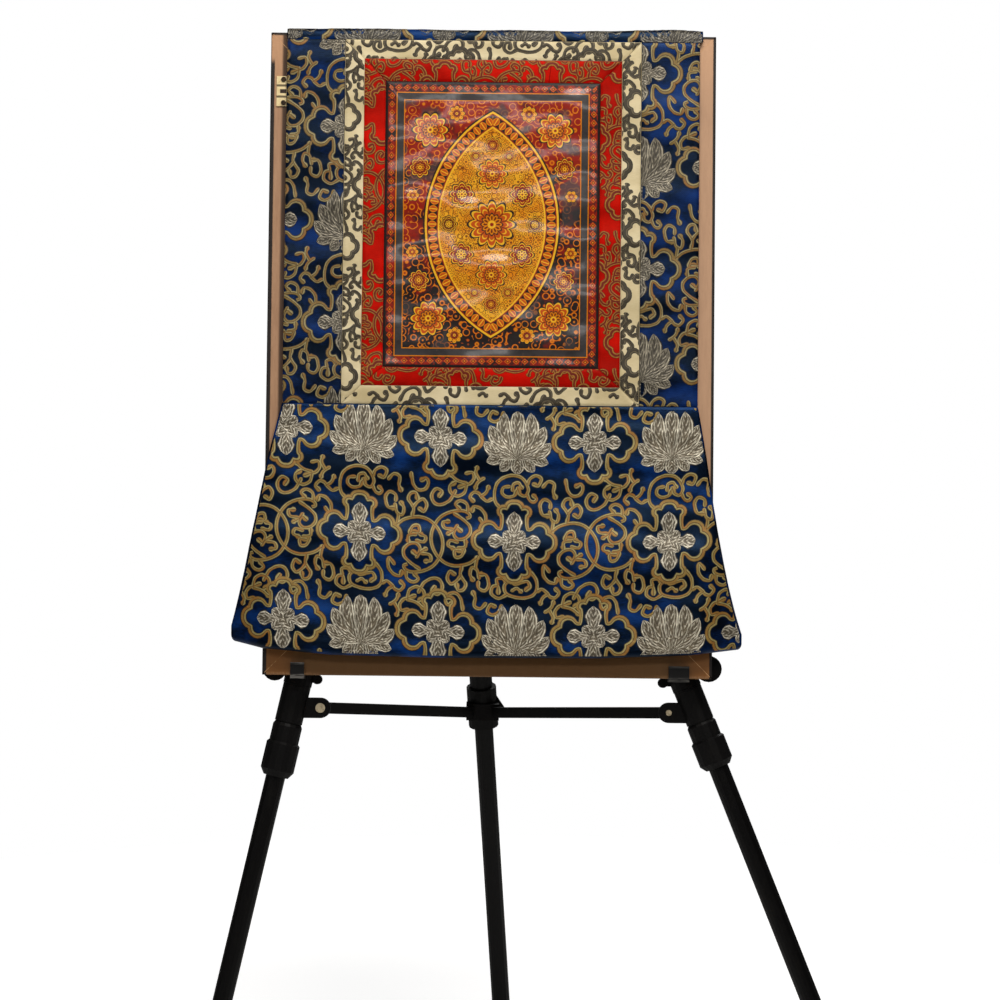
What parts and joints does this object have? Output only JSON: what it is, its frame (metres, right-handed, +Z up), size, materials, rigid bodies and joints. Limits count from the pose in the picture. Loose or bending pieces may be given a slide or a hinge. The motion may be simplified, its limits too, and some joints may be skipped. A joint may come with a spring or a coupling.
{
  "type": "thangka scroll painting on a framed board with a tripod easel",
  "caption": "Small thangka scroll painting in red, cream and blue brocade, hung over the top of a wood-framed board that stands on a black telescoping tripod easel.",
  "frame": {"origin": "on the floor, under the middle of the whole part's bounding box", "axes": "+Z up, -Y towards the viewer of the painted face, +X to the viewer's right"},
  "size_m": [0.7392, 0.4346, 1.158],
  "materials": {
    "blue_brocade": "satin",
    "cream_brocade": "satin",
    "red_brocade": "satin",
    "painted_cloth": "varnished",
    "wood": "satin",
    "black_tube": "painted",
    "black_plastic": "satin",
    "rubber": "matte",
    "brass": "satin",
    "steel": "polished"
  },
  "bodies": {
    "root": {"board_panel": "wood", "board_rail_bottom": "wood", "board_rail_left": "wood", "board_rail_right": "wood", "board_rail_top": "wood", "brace_left": "black_tube", "brace_right": "black_tube", "catch_plate": "brass", "catch_screw_lower": "steel", "catch_screw_upper": "steel", "cream_bottom": "cream_brocade", "cream_left": "cream_brocade", "cream_right": "cream_brocade", "cream_top": "cream_brocade", "head": "black_plastic", "heading": "blue_brocade", "knob_left": "black_plastic", "knob_right": "black_plastic", "leg_left_clamp": "black_plastic", "leg_left_collar": "black_plastic", "leg_left_foot": "rubber", "leg_left_joint": "black_plastic", "leg_left_lower": "black_tube", "leg_left_upper": "black_tube", "leg_rear_foot": "rubber", "leg_rear_hub": "black_plastic", "leg_rear_lower": "black_tube", "leg_rear_upper": "black_tube", "leg_right_clamp": "black_plastic", "leg_right_collar": "black_plastic", "leg_right_foot": "rubber", "leg_right_joint": "black_plastic", "leg_right_lower": "black_tube", "leg_right_upper": "black_tube", "painting": "painted_cloth", "peg_left": "steel", "peg_right": "steel", "red_bottom": "red_brocade", "red_left": "red_brocade", "red_right": "red_brocade", "red_top": "red_brocade", "rivet_left": "steel", "rivet_right": "steel", "side_left": "blue_brocade", "side_right": "blue_brocade", "skirt": "blue_brocade"}
  },
  "joints": []
}
